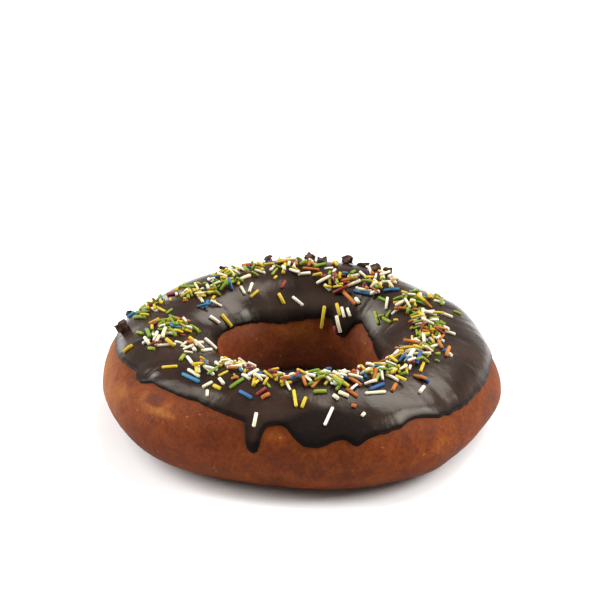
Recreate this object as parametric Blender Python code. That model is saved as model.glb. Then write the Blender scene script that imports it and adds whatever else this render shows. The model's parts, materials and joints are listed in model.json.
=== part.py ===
"""A ring doughnut under chocolate icing, with sugar strands and chocolate flakes.

A place on the ring is given by two angles in degrees. "Around" turns about the
axis of the hole, from +X towards +Y. "Across" turns about the middle of the
ring's round section: 0 is the outermost point, 90 the crest, 180 the wall of
the hole and 270 the underside.
"""
import math
import random

import bmesh
import bpy
import numpy as np
from mathutils import Matrix, Vector
from mathutils.kdtree import KDTree

MM = 0.001

# The ring's section, and where the ring's axis stands
RING_WIDTH = 110 * MM
CREST_RADIUS = 35.8 * MM
HOLE_SIDE = 16 * MM
CREST_HEIGHT = 28 * MM
WIDEST_HEIGHT = 11.9 * MM
FOOT_FLATTENED = 0.8 * MM
ICED_TOP_LOWERED = 1.3 * MM
UPPER_ROUNDNESS = 1.89
LOWER_ROUNDNESS = 2.06
AXIS_PLACE = (-0.4 * MM, -1.2 * MM, 0)

# Slow swells round the ring: number of crests, height, and where one crest is
WIDTH_WAVES = (
    (1, 0.33 * MM, 98),
    (2, 0.88 * MM, -40),
    (3, 0.52 * MM, -34),
    (4, 0.44 * MM, 31),
    (5, 0.9 * MM, 10),
)
HEIGHT_WAVES = ((1, 0.5 * MM, 97), (2, 1.2 * MM, 76))
BELLY_WAVES = ((1, 1.7 * MM, 180), (2, 1.0 * MM, 90))

# Local bulges and dents: around, across, rise, and half widths both ways
BULGES = (
    (354, 0, 0.6 * MM, 11, 22),
    (9, 22, -0.4 * MM, 6, 16),
    (336, 341, -0.7 * MM, 9, 22),
    (188, 354, 0.6 * MM, 12, 22),
    (146, 42, -0.9 * MM, 9, 26),
    (24, 50, 0.5 * MM, 8, 24),
)

# Small lumps of the fried crust, as a sum of waves drawn once
LUMP_WAVES = 10
LUMP_HEIGHT = 0.22 * MM
LUMPS_AROUND = (3, 15)
LUMPS_ACROSS = (1, 6)
LUMP_SEED = 7

# The icing: its edges across the ring, with drips, lobes and bays
OUTER_EDGE = 28
OUTER_RUNS = (
    (30, 5, 9, 2),
    (52, -7, 6, 2),
    (78, 7, 10, 2),
    (98, -9, 5, 3),
    (120, 8, 9, 2),
    (141, -5, 6, 2),
    (209.5, -5.5, 4.5, 4),
    (220, 20.5, 33, 3),
    (256, -26.5, 2.6, 4),
    (264.5, 9.5, 4, 2),
    (272, -13.5, 7.5, 2),
    (285.5, -8, 2.7, 2),
    (305, 8, 8, 2),
)
INNER_EDGE = 149
INNER_RUNS = (
    (10, 7.5, 13.5, 2),
    (43, -5, 5.5, 2),
    (56.5, 15, 8, 4),
    (101, 10.5, 26, 2),
    (168, -6, 28, 2),
    (213, 4, 10, 2),
    (250, -4, 9, 2),
    (286, 5, 8, 2),
    (325, -4, 10, 2),
)
GAP = 0.3 * MM
ICING_THICKNESS = 0.95 * MM
RIM_THICKNESS = 0.7 * MM
RIM_BEAD = 0.25 * MM
BEAD_FROM_EDGE = 1.6 * MM
RIM_ROUNDING = 1.1 * MM
RIM_BLEND = 4 * MM

# Where icing pooled before it set: around, across, rise, and half widths
POOLS = (
    (273, 24, 0.5 * MM, 6, 10),
    (256.5, 14, 0.35 * MM, 2.5, 8),
    (286, 27, 0.3 * MM, 4, 7),
)

# Sugar strands
STRAND_RADIUS = 0.6 * MM
STRAND_LENGTHS = (3.0 * MM, 5.6 * MM)
STRAND_SUNK = 0.4 * MM
STRAND_SIDES = 6
STRAND_SPACING = 1.5 * MM
STRAND_SEED = 31

# Drifts of strands: around, across, spreads both ways, and how many are raised here
DRIFTS = (
    (181, 94, 4, 9, 12),
    (192, 78, 3.5, 4, 2),
    (205, 108, 3, 7, 3),
    (227, 80, 4, 5, 3),
    (158, 66, 8, 7, 4),
    (144, 90, 6, 11, 6),
    (127, 87, 8, 8, 10),
    (101, 85, 8, 8, 9),
    (84, 84, 5, 9, 2),
    (66, 106, 8, 8, 6),
    (49, 97, 4, 12, 7),
    (25, 98, 4, 16, 7),
    (2, 93, 7, 7, 6),
    (347, 91, 5, 7, 3),
    (330, 95, 7, 8, 12),
    (304, 89, 8, 7, 11),
    (282, 89, 8, 6, 9),
    (258, 90, 8, 6, 8),
    (239, 100, 5, 5, 4),
)

# Strands that lie alone: around, across, turn from the ring's direction, and length
LONE_STRANDS = (
    (256.2, 37, 88, 3.8 * MM),
    (278.5, 45, 68, 5.7 * MM),
    (268, 62, 102, 5.6 * MM),
    (251, 61, 155, 4.2 * MM),
    (216, 68, 44, 4.2 * MM),
    (190, 50, 98, 3.2 * MM),
    (199, 82, 67, 5.2 * MM),
    (150, 136, 87, 4.4 * MM),
    (103, 135, 104, 3.6 * MM),
    (92, 139, 137, 4.0 * MM),
    (73, 152, 92, 6.5 * MM),
    (62, 142, 128, 4.0 * MM),
    (58, 154, 122, 5.0 * MM),
    (59, 127, 154, 7.2 * MM),
    (14, 88, 95, 4.1 * MM),
    (12, 73, 60, 3.6 * MM),
    (296, 66, 177, 5.8 * MM),
    (313, 58, 21, 3.1 * MM),
)

# Flakes of chocolate: around, across, turn, tilt, where the first corner points, width, and lift
FLAKES = (
    (172, 43, 5, 82, 225, 5.0 * MM, 1.0 * MM),
    (157, 33, 40, 40, 0, 2.4 * MM, 0.5 * MM),
    (102, 64, 20, 40, 0, 3.2 * MM, 0.9 * MM),
    (87, 68, 95, 35, 20, 4.4 * MM, 0.8 * MM),
    (82, 72, 60, 20, 60, 3.4 * MM, 0.5 * MM),
    (72, 67, 75, 60, 0, 3.8 * MM, 1.1 * MM),
    (65, 68, 15, 20, 30, 3.6 * MM, 0.5 * MM),
    (59, 72, 85, 30, 10, 4.4 * MM, 0.7 * MM),
    (55, 66, 80, 50, 0, 3.8 * MM, 0.9 * MM),
    (95, 48, 45, 20, 40, 3.2 * MM, 0.5 * MM),
    (74, 46, 100, 20, 70, 3.6 * MM, 0.5 * MM),
    (118, 52, 160, 20, 20, 3.0 * MM, 0.5 * MM),
)
FLAKE_THICKNESS = 0.9 * MM
FLAKE_CORNERS = 4
CORNER_SHIFT = 0.2
CORNER_REACH = (0.75, 1.1)
CORNER_HEIGHT = (0.8, 1.2)
FLAKE_SEED = 5

# How finely the surfaces are divided
DOUGH_COLUMNS = 66
DOUGH_ROWS = 24
ICING_ROWS = 12
COLUMN_RUNS = ((0, 246, 6), (246, 251, 2.5), (251, 262, 0.8), (262, 292, 3), (292, 360, 6))
FRAME_STEP = 0.5
EDGE_STEP = 0.25

DOUGH_COLOUR = (0.305, 0.085, 0.022, 1)
DOUGH_ROUGHNESS = 0.55
ICING_COLOUR = (0.065, 0.045, 0.038, 1)
ICING_ROUGHNESS = 0.35
SHARP_ANGLE = 40


def away(angle, centre):
    """Signed difference between two angles, from -180 to 180."""
    return (angle - centre + 180) % 360 - 180


def waves(around, rises):
    total = np.zeros(np.shape(around))
    for count, height, crest in rises:
        total = total + height * np.cos(count * np.radians(around - crest))
    return total


def runs(around, base, changes):
    """An edge that stays at base apart from named drips, lobes and bays."""
    total = np.full(np.shape(around), float(base))
    for centre, change, half_width, squareness in changes:
        total = total + change * np.exp(-np.abs(away(around, centre) / half_width) ** squareness)
    return total


def mounds(around, across, rises):
    total = np.zeros(np.broadcast(around, across).shape)
    for centre, level, height, half_around, half_across in rises:
        reach = (away(around, centre) / half_around) ** 2 + (away(across, level) / half_across) ** 2
        total = total + height * np.exp(-reach)
    return total


def lump_list():
    draw = random.Random(LUMP_SEED)
    return [
        (draw.randint(*LUMPS_AROUND), draw.randint(*LUMPS_ACROSS), draw.uniform(0, math.tau))
        for _ in range(LUMP_WAVES)
    ]


LUMPS = lump_list()


def lumps(around, across):
    total = np.zeros(np.broadcast(around, across).shape)
    for count_around, count_across, phase in LUMPS:
        total = total + np.sin(count_around * np.radians(around) + count_across * np.radians(across) + phase)
    return total * LUMP_HEIGHT / math.sqrt(LUMP_WAVES)


def dough_point(around, across):
    """Points on the bare dough, for arrays of angles."""
    out, up = np.cos(np.radians(across)), np.sin(np.radians(across))
    roundness = np.where(up >= 0, UPPER_ROUNDNESS, LOWER_ROUNDNESS)
    reach = (np.abs(out) ** roundness + np.abs(up) ** roundness) ** (-1 / roundness)
    side = np.where(out >= 0, RING_WIDTH / 2 + waves(around, WIDTH_WAVES) - CREST_RADIUS, HOLE_SIDE)
    widest = WIDEST_HEIGHT + waves(around, BELLY_WAVES)
    above = CREST_HEIGHT + waves(around, HEIGHT_WAVES) - widest
    below = widest + FOOT_FLATTENED
    relief = lumps(around, across) + mounds(around, across, BULGES)
    relief = relief - ICED_TOP_LOWERED * np.clip(up, 0, 1) ** 2
    radius = CREST_RADIUS + (side * reach + relief) * out
    height = widest + (np.where(up >= 0, above, below) * reach + relief) * up
    turn = np.radians(around)
    place = np.stack([radius * np.cos(turn), radius * np.sin(turn), np.maximum(height, 0)], -1)
    return place + np.array(AXIS_PLACE)


def dough_frame(around, across):
    """Points on the dough with unit directions around it, across it and out of it."""
    along = dough_point(around + FRAME_STEP, across) - dough_point(around - FRAME_STEP, across)
    over = dough_point(around, across + FRAME_STEP) - dough_point(around, across - FRAME_STEP)
    along = along / np.linalg.norm(along, axis=-1, keepdims=True)
    out = np.cross(along, over)
    out = out / np.linalg.norm(out, axis=-1, keepdims=True)
    return dough_point(around, across), along, np.cross(out, along), out


def outer_edge(around):
    return runs(around, OUTER_EDGE, OUTER_RUNS)


def inner_edge(around):
    return runs(around, INNER_EDGE, INNER_RUNS)


def edge_tree():
    """Both edges of the icing as points on the dough, ready for nearest distances."""
    around = np.arange(0, 360, EDGE_STEP)
    edges = [dough_point(around, edge(around)) for edge in (outer_edge, inner_edge)]
    points = np.concatenate(edges)
    tree = KDTree(len(points))
    for index, point in enumerate(points):
        tree.insert(point, index)
    tree.balance()
    return tree


EDGES = edge_tree()


def icing_thickness(around, across):
    """Full on top, thinner towards the edge, with a bead there and a rounded rim."""
    points = dough_point(around, across).reshape(-1, 3)
    inside = np.array([EDGES.find(point)[2] for point in points]).reshape(around.shape)
    rounded = np.sqrt(1 - (1 - np.clip(inside / RIM_ROUNDING, 0, 1)) ** 2)
    blend = np.clip(inside / RIM_BLEND, 0, 1)
    blend = blend * blend * (3 - 2 * blend)
    bead = RIM_BEAD * np.exp(-((inside - BEAD_FROM_EDGE) / RIM_ROUNDING) ** 2)
    full = RIM_THICKNESS + (ICING_THICKNESS - RIM_THICKNESS) * blend + bead + mounds(around, across, POOLS)
    return full * rounded


def material(name, colour, roughness):
    made = bpy.data.materials.new(name)
    made.use_nodes = True
    shader = made.node_tree.nodes["Principled BSDF"]
    shader.inputs["Base Color"].default_value = colour
    shader.inputs["Roughness"].default_value = roughness
    shader.inputs["Metallic"].default_value = 0
    return made


def ring_object(name, points, finish):
    """An object from a grid of points that closes both round the ring and round its section.

    Each cell is cut along its shorter diagonal, so a thin wall's two sides are cut alike.
    """
    columns, rows = points.shape[:2]
    faces = []
    for i in range(columns):
        for j in range(rows):
            after, up = (i + 1) % columns, (j + 1) % rows
            a, b, c, d = i * rows + j, after * rows + j, after * rows + up, i * rows + up
            rising = np.linalg.norm(points[i, j] - points[after, up])
            falling = np.linalg.norm(points[after, j] - points[i, up])
            faces += [(a, b, c), (a, c, d)] if rising < falling else [(a, b, d), (b, c, d)]
    mesh = bpy.data.meshes.new(name)
    mesh.from_pydata([tuple(point) for point in points.reshape(-1, 3)], [], faces)
    mesh.materials.append(finish)
    mesh.shade_smooth()
    made = bpy.data.objects.new(name, mesh)
    bpy.context.scene.collection.objects.link(made)
    return made


def make_dough():
    around = np.arange(DOUGH_COLUMNS) * 360 / DOUGH_COLUMNS
    across = np.arange(DOUGH_ROWS) * 360 / DOUGH_ROWS
    points = dough_point(*np.meshgrid(around, across, indexing="ij"))
    return ring_object("dough", points, material("fried dough", DOUGH_COLOUR, DOUGH_ROUGHNESS))


def make_icing():
    """A closed shell: the glossy top from edge to edge, then back along its underside."""
    around = np.concatenate([np.arange(start, stop, step) for start, stop, step in COLUMN_RUNS])
    top = 0.5 - 0.5 * np.cos(math.pi * np.arange(ICING_ROWS + 1) / ICING_ROWS)
    share = np.concatenate([top, top[-2:0:-1]])
    around_grid, share_grid = np.meshgrid(around, share, indexing="ij")
    first, last = outer_edge(around_grid), inner_edge(around_grid)
    across_grid = first + (last - first) * share_grid
    points, _, _, out = dough_frame(around_grid, across_grid)
    lift = np.full(around_grid.shape, GAP)
    lift[:, :len(top)] += icing_thickness(around_grid[:, :len(top)], across_grid[:, :len(top)])
    finish = material("chocolate icing", ICING_COLOUR, ICING_ROUGHNESS)
    return ring_object("icing", points + out * lift[..., None], finish)


def topping(name, mesh, place, axis_x, axis_y, axis_z, group):
    """Link a small piece into the group, turned to the three directions given."""
    turn = Matrix((axis_x, axis_y, axis_z)).transposed().to_4x4()
    made = bpy.data.objects.new(name, mesh)
    made.matrix_world = Matrix.Translation(place) @ turn
    made.display_type = "WIRE"
    made.hide_render = True
    group.objects.link(made)


def on_icing(around, across):
    """The icing's upper surface at one place, with its directions as vectors."""
    here, level = np.array([float(around)]), np.array([float(across)])
    point, along, over, out = dough_frame(here, level)
    surface = point + out * (GAP + icing_thickness(here, level))[..., None]
    return Vector(surface[0]), Vector(along[0]), Vector(over[0]), Vector(out[0])


def strand_mesh(length):
    shape = bmesh.new()
    bmesh.ops.create_cone(shape, cap_ends=True, segments=STRAND_SIDES, radius1=STRAND_RADIUS,
                          radius2=STRAND_RADIUS, depth=length)
    mesh = bpy.data.meshes.new("strand")
    shape.to_mesh(mesh)
    shape.free()
    return mesh


def drifted_places(draw):
    """Draw places in each drift, none too near another, so that they spread as the real ones do."""
    taken = []
    for centre, level, spread_around, spread_across, count in DRIFTS:
        placed = 0
        while placed < count:
            around = draw.gauss(centre, spread_around)
            across = draw.gauss(level, spread_across)
            turn = draw.uniform(0, 180)
            length = draw.uniform(*STRAND_LENGTHS)
            point = on_icing(around, across)[0]
            if all((point - other).length > STRAND_SPACING for other in taken):
                taken.append(point)
                placed += 1
                yield around, across, turn, length


def add_strands(group):
    draw = random.Random(STRAND_SEED)
    for around, across, turn, length in (*LONE_STRANDS, *drifted_places(draw)):
        point, along, over, out = on_icing(around, across)
        lie = along * math.cos(math.radians(turn)) + over * math.sin(math.radians(turn))
        place = point + out * (STRAND_RADIUS - STRAND_SUNK)
        topping("strand", strand_mesh(length), place, out, lie.cross(out), lie, group)


def flake_mesh(width, first_corner, draw):
    """A shard: an uneven outline with slanting sides."""
    shape = bmesh.new()
    rings = []
    for level in (-0.5, 0.5):
        ring = []
        for corner in range(FLAKE_CORNERS):
            turn = math.tau * (corner + draw.uniform(-CORNER_SHIFT, CORNER_SHIFT)) / FLAKE_CORNERS
            turn += math.radians(first_corner)
            reach = width / 2 * draw.uniform(*CORNER_REACH)
            height = level * FLAKE_THICKNESS * draw.uniform(*CORNER_HEIGHT)
            ring.append(shape.verts.new((reach * math.cos(turn), reach * math.sin(turn), height)))
        rings.append(ring)
    low, high = rings
    shape.faces.new(reversed(low))
    shape.faces.new(high)
    for corner in range(FLAKE_CORNERS):
        after = (corner + 1) % FLAKE_CORNERS
        shape.faces.new((low[corner], low[after], high[after], high[corner]))
    bmesh.ops.triangulate(shape, faces=shape.faces)
    mesh = bpy.data.meshes.new("flake")
    shape.to_mesh(mesh)
    shape.free()
    return mesh


def add_flakes(group):
    draw = random.Random(FLAKE_SEED)
    for around, across, turn, tilt, first_corner, width, lift in FLAKES:
        point, along, over, out = on_icing(around, across)
        side = along * math.cos(math.radians(turn)) + over * math.sin(math.radians(turn))
        axis = out * math.cos(math.radians(tilt)) + side * math.sin(math.radians(tilt))
        side = side * math.cos(math.radians(tilt)) - out * math.sin(math.radians(tilt))
        shard = flake_mesh(width, first_corner, draw)
        topping("flake", shard, point + out * lift, side, axis.cross(side), axis, group)


def keep_largest_piece(mesh):
    """Drop scraps that touch nothing, and the walls of any hollow that joining sealed."""
    shape = bmesh.new()
    shape.from_mesh(mesh)
    unseen = set(shape.verts)
    pieces = []
    while unseen:
        piece, edge = set(), [unseen.pop()]
        while edge:
            vert = edge.pop()
            piece.add(vert)
            for link in vert.link_edges:
                other = link.other_vert(vert)
                if other in unseen:
                    unseen.discard(other)
                    edge.append(other)
        pieces.append(piece)
    pieces.sort(key=len)
    for piece in pieces[:-1]:
        bmesh.ops.delete(shape, geom=list(piece), context="VERTS")
    shape.to_mesh(mesh)
    shape.free()


def fuse(body, group):
    """Join every piece of the group to the body, then remove the pieces."""
    union = body.modifiers.new("toppings", "BOOLEAN")
    union.operation = "UNION"
    union.operand_type = "COLLECTION"
    union.collection = group
    union.solver = "EXACT"
    evaluated = body.evaluated_get(bpy.context.evaluated_depsgraph_get())
    joined = bpy.data.meshes.new_from_object(evaluated)
    body.modifiers.clear()
    body.data = joined
    keep_largest_piece(joined)
    joined.shade_smooth()
    joined.set_sharp_from_angle(angle=math.radians(SHARP_ANGLE))
    for piece in list(group.objects):
        bpy.data.objects.remove(piece)
    bpy.data.collections.remove(group)


def main():
    for old in list(bpy.data.objects):
        bpy.data.objects.remove(old)
    make_dough()
    icing = make_icing()
    toppings = bpy.data.collections.new("toppings")
    bpy.context.scene.collection.children.link(toppings)
    add_strands(toppings)
    add_flakes(toppings)
    fuse(icing, toppings)


main()
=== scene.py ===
# %% [markdown]
# # A ring doughnut under chocolate icing
# A fried dough ring about 110 mm across has been dipped in dark chocolate icing and strewn with
# sugar strands and chocolate flakes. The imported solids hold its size, so this lesson only
# dresses them: a fine crust, a coat of icing with a rounded rim, a few hundred strands that lie
# on each other, and the finish of each.

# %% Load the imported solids
import json
import math
import random

import bmesh
import bpy
import numpy as np
from mathutils import Matrix, Vector, noise as vector_noise
from mathutils.bvhtree import BVHTree
from mathutils.kdtree import KDTree

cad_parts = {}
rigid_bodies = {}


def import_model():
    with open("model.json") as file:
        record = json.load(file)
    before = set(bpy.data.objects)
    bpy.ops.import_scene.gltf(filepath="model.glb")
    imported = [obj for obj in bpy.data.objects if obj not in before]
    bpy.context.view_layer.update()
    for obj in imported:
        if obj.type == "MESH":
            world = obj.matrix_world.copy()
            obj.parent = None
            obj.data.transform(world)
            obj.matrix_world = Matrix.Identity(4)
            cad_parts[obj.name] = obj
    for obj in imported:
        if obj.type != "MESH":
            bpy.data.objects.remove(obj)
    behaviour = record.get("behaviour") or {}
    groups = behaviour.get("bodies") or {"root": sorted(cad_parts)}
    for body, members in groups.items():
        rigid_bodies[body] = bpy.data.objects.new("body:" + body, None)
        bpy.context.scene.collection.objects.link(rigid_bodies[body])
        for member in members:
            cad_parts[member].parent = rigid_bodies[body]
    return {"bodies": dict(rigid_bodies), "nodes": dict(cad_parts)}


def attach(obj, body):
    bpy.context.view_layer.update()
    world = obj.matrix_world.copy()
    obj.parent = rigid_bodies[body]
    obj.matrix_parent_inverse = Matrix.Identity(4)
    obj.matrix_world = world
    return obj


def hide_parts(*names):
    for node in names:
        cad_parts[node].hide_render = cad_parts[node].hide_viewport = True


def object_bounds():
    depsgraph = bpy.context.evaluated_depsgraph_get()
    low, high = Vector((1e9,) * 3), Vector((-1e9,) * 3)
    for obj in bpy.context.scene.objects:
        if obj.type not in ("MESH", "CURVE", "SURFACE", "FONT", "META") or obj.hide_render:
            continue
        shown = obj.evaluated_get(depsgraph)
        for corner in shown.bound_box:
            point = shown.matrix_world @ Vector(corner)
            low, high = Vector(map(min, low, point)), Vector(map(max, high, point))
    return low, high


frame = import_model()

MM = 0.001


def size_in_mm(box):
    return [round(side / MM, 1) for side in box[1] - box[0]]


def new_piece(name, data):
    made = bpy.data.objects.new(name, data)
    bpy.context.scene.collection.objects.link(made)
    return made


cad_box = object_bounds()
kept = set(frame["nodes"].values()) | set(frame["bodies"].values())
for other in [thing for thing in bpy.data.objects if thing not in kept]:
    bpy.data.objects.remove(other)
print("solids:", sorted(frame["nodes"]), "size in mm:", size_in_mm(cad_box))

# %% [markdown]
# # Where the picture is taken from
# The hole shows as an oval about 0.45 as high as it is wide, which puts the camera 26 degrees
# above the table. The sizes of the near and the far side give its distance: two thirds of a
# metre. The ring sits low in the picture, so the camera looks a little over it.

# %% Camera
RING_AXIS = Vector((-0.4 * MM, -1.2 * MM, 0))
RING_MIDDLE = RING_AXIS + Vector((0, 0, 14.3 * MM))
CAMERA_DISTANCE = 0.66
CAMERA_ELEVATION = math.radians(25.99)
IMAGE_WIDTH = 600
FOCAL_PIXELS = 2376
MIDDLE_PIXEL = (300.8, 368.5)
SENSOR_WIDTH = 36


def make_camera():
    data = bpy.data.cameras.new("camera")
    data.sensor_width = SENSOR_WIDTH
    data.lens = FOCAL_PIXELS / IMAGE_WIDTH * SENSOR_WIDTH
    data.clip_start = 0.01
    data.clip_end = 50
    camera = new_piece("camera", data)
    back = Vector((0, -math.cos(CAMERA_ELEVATION), math.sin(CAMERA_ELEVATION)))
    camera.location = RING_MIDDLE + back * CAMERA_DISTANCE
    look_left, look_up = [math.atan((pixel - IMAGE_WIDTH / 2) / FOCAL_PIXELS) for pixel in MIDDLE_PIXEL]
    camera.rotation_euler = (math.pi / 2 - CAMERA_ELEVATION + look_up, 0, look_left)
    bpy.context.scene.camera = camera
    print("lens in mm:", round(data.lens, 1))


make_camera()

# %% [markdown]
# # Writing node trees as sums
# Materials and Geometry Nodes are both node trees, which are long to build node by node. One
# small class wraps a tree and makes any node from its type, settings and inputs. Another wraps a
# socket, so that a formula such as 1 - mask * 2 adds its Math nodes.

# %% Node trees as formulas
def operator(operation, swapped=False):
    """A sign such as + between wires, which adds one Math node."""
    def add_node(self, other):
        return self.maths(operation, *((other, self) if swapped else (self, other)))
    return add_node


class Wire:
    """A socket that can stand in a sum, as a number does."""

    __add__ = operator("ADD")
    __radd__ = operator("ADD", swapped=True)
    __sub__ = operator("SUBTRACT")
    __rsub__ = operator("SUBTRACT", swapped=True)
    __mul__ = operator("MULTIPLY")
    __rmul__ = operator("MULTIPLY", swapped=True)
    __rtruediv__ = operator("DIVIDE", swapped=True)

    def __init__(self, tree, socket):
        self.tree = tree
        self.socket = socket

    def maths(self, operation, *values):
        return self.tree.node("ShaderNodeMath", {"operation": operation}, dict(enumerate(values)))

    def clipped(self, low=0.0, high=1.0, rise="LINEAR"):
        """0 below low, 1 above high, and an even rise between."""
        values = {"Value": self, "From Min": low, "From Max": high}
        return self.tree.node("ShaderNodeMapRange", {"interpolation_type": rise}, values)

    def eased(self, low, high):
        """The same with a smooth rise."""
        return self.clipped(low, high, "SMOOTHSTEP")


class Tree:
    """A node tree, with one way to make any node."""

    def __init__(self, nodes, links):
        self.nodes = nodes
        self.links = links

    def node(self, kind, settings=None, inputs=None, output=0):
        made = self.nodes.new(kind)
        for name, value in (settings or {}).items():
            setattr(made, name, value)
        self.fill(made, inputs or {})
        return Wire(self, made.outputs[output])

    def fill(self, made, inputs):
        for name, value in inputs.items():
            self.join(made.inputs[name], value)

    def join(self, socket, value):
        if isinstance(value, Wire):
            self.links.new(value.socket, socket)
        else:
            socket.default_value = value

    def blend(self, share, first, second, blend_type="MIX"):
        """Two colours, mixed by a share from 0 to 1."""
        settings = {"data_type": "RGBA", "blend_type": blend_type}
        values = {"Factor": share, 6: first, 7: second}
        return self.node("ShaderNodeMix", settings, values, output=2)

    def parts(self, vector):
        """The three numbers of a vector."""
        return [self.node("ShaderNodeSeparateXYZ", {}, {0: vector}, output=index) for index in range(3)]


def linear(value):
    """One part of a colour as read off a screen, 0 to 255, as the linear value that shaders use."""
    part = value / 255
    return part / 12.92 if part <= 0.04045 else ((part + 0.055) / 1.055) ** 2.4


def colour(red, green, blue):
    return (linear(red), linear(green), linear(blue), 1)


def new_material(name):
    made = bpy.data.materials.new(name)
    made.use_nodes = True
    nodes = made.node_tree.nodes
    return made, Tree(nodes, made.node_tree.links), nodes["Principled BSDF"]


# %% [markdown]
# # Floor and light
# The doughnut stands on a white sweep. A plain floor is enough, as the camera looks down and
# never sees its far edge. Wide suns light it evenly however far it runs. The icing shows where
# the soft boxes stood: it mirrors one low at each side and one high behind each shoulder, and is
# dark towards the camera. The pale sheen along its far outline is the sweep itself, a brighter
# band of the world behind the table.

# %% Floor and light
FLOOR_HALF = 7.0
SUNS = (
    ("left", 3.6, 38, (-0.86, 0.14, 0.49)),
    ("right", 3.5, 34, (0.78, -0.06, 0.62)),
    ("upper left", 1.0, 26, (-0.57, 0.24, 0.79)),
    ("upper right", 2.2, 36, (0.38, 0.42, 0.82)),
    ("front", 0.45, 50, (0.0, -0.45, 0.89)),
)
WORLD_LIGHT = 0.3
WORLD_COLOUR = (1, 0.94, 0.87, 1)
SWEEP_LIGHT = 0.55
SWEEP_TOP = (0.05, 0.4)
SWEEP_SIDES = (0.2, 0.8)
SWEEP_WHITE = (0.86, 0.86, 0.86, 1)


def make_floor():
    mesh = bpy.data.meshes.new("floor")
    corners = [(x * FLOOR_HALF, y * FLOOR_HALF, 0) for x, y in ((-1, -1), (1, -1), (1, 1), (-1, 1))]
    mesh.from_pydata(corners, [], [(0, 1, 2, 3)])
    made, tree, shader = new_material("white sweep")
    tree.fill(shader, {"Base Color": SWEEP_WHITE, "Roughness": 0.9, "Specular IOR Level": 0.2})
    mesh.materials.append(made)
    new_piece("floor", mesh)


def make_lights():
    for name, strength, width, towards in SUNS:
        data = bpy.data.lights.new(name, "SUN")
        data.energy = strength
        data.angle = math.radians(width)
        lamp = new_piece(name, data)
        lamp.rotation_euler = Vector(towards).to_track_quat("Z", "Y").to_euler()
    world = bpy.data.worlds.new("studio")
    world.use_nodes = True
    nodes = world.node_tree.nodes
    tree = Tree(nodes, world.node_tree.links)
    _, back, up = tree.parts(tree.node("ShaderNodeTexCoord", output="Generated"))
    sweep = (1 - up.eased(*SWEEP_TOP)) * back.eased(*SWEEP_SIDES)
    glow = WORLD_LIGHT + sweep * SWEEP_LIGHT
    tree.fill(nodes["Background"], {"Color": WORLD_COLOUR, "Strength": glow})
    bpy.context.scene.world = world
    bpy.context.scene.view_settings.view_transform = "Standard"


make_floor()
make_lights()
print("lights:", [name for name, *_ in SUNS])

# %% [markdown]
# # The ring's shape as a formula
# A place on the ring is given by two angles. "Around" turns about the axis of the hole.
# "Across" turns about the middle of the round section: 0 is the outermost point, 90 the crest,
# 180 the wall of the hole and 270 the underside. The section is a superellipse, a little fuller
# than an ellipse, and slow waves round the ring make it as uneven as risen dough. These are the
# sizes that the solids were made from, so crust and icing lie where the solids lie.

# %% The ring's sizes
RING_WIDTH = 110 * MM
CREST_RADIUS = 35.8 * MM
HOLE_SIDE = 16 * MM
CREST_HEIGHT = 28 * MM
WIDEST_HEIGHT = 11.9 * MM
FOOT_FLATTENED = 0.8 * MM
ICED_TOP_LOWERED = 1.3 * MM
UPPER_ROUNDNESS = 1.89
LOWER_ROUNDNESS = 2.06

# Slow swells round the ring: number of crests, height, and where one crest is
WIDTH_WAVES = (
    (1, 0.33 * MM, 98),
    (2, 0.88 * MM, -40),
    (3, 0.52 * MM, -34),
    (4, 0.44 * MM, 31),
    (5, 0.9 * MM, 10),
)
HEIGHT_WAVES = ((1, 0.5 * MM, 97), (2, 1.2 * MM, 76))
BELLY_WAVES = ((1, 1.7 * MM, 180), (2, 1.0 * MM, 90))

# Local bulges and dents: around, across, rise, and half widths both ways
BULGES = (
    (354, 0, 0.6 * MM, 11, 22),
    (9, 22, -0.4 * MM, 6, 16),
    (336, 341, -0.7 * MM, 9, 22),
    (188, 354, 0.6 * MM, 12, 22),
    (146, 42, -0.9 * MM, 9, 26),
    (24, 50, 0.5 * MM, 8, 24),
)
LUMP_WAVES = 10
LUMP_HEIGHT = 0.22 * MM
LUMPS_AROUND = (3, 15)
LUMPS_ACROSS = (1, 6)
LUMP_SEED = 7
FRAME_STEP = 0.5

# %% The ring's formula
def away(angle, centre):
    """Signed difference between two angles, from -180 to 180."""
    return (angle - centre + 180) % 360 - 180


def waves(around, rises):
    total = np.zeros(np.shape(around))
    for count, height, crest in rises:
        total = total + height * np.cos(count * np.radians(around - crest))
    return total


def mounds(around, across, rises):
    """Round hills: each has a place, a height and a half width both ways."""
    total = np.zeros(np.broadcast(around, across).shape)
    for centre, level, height, half_around, half_across in rises:
        reach = (away(around, centre) / half_around) ** 2 + (away(across, level) / half_across) ** 2
        total = total + height * np.exp(-reach)
    return total


def lump_list():
    draw = random.Random(LUMP_SEED)
    return [
        (draw.randint(*LUMPS_AROUND), draw.randint(*LUMPS_ACROSS), draw.uniform(0, math.tau))
        for _ in range(LUMP_WAVES)
    ]


LUMPS = lump_list()


def lumps(around, across):
    total = np.zeros(np.broadcast(around, across).shape)
    for count_around, count_across, phase in LUMPS:
        turn = count_around * np.radians(around) + count_across * np.radians(across)
        total = total + np.sin(turn + phase)
    return total * LUMP_HEIGHT / math.sqrt(LUMP_WAVES)


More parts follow.
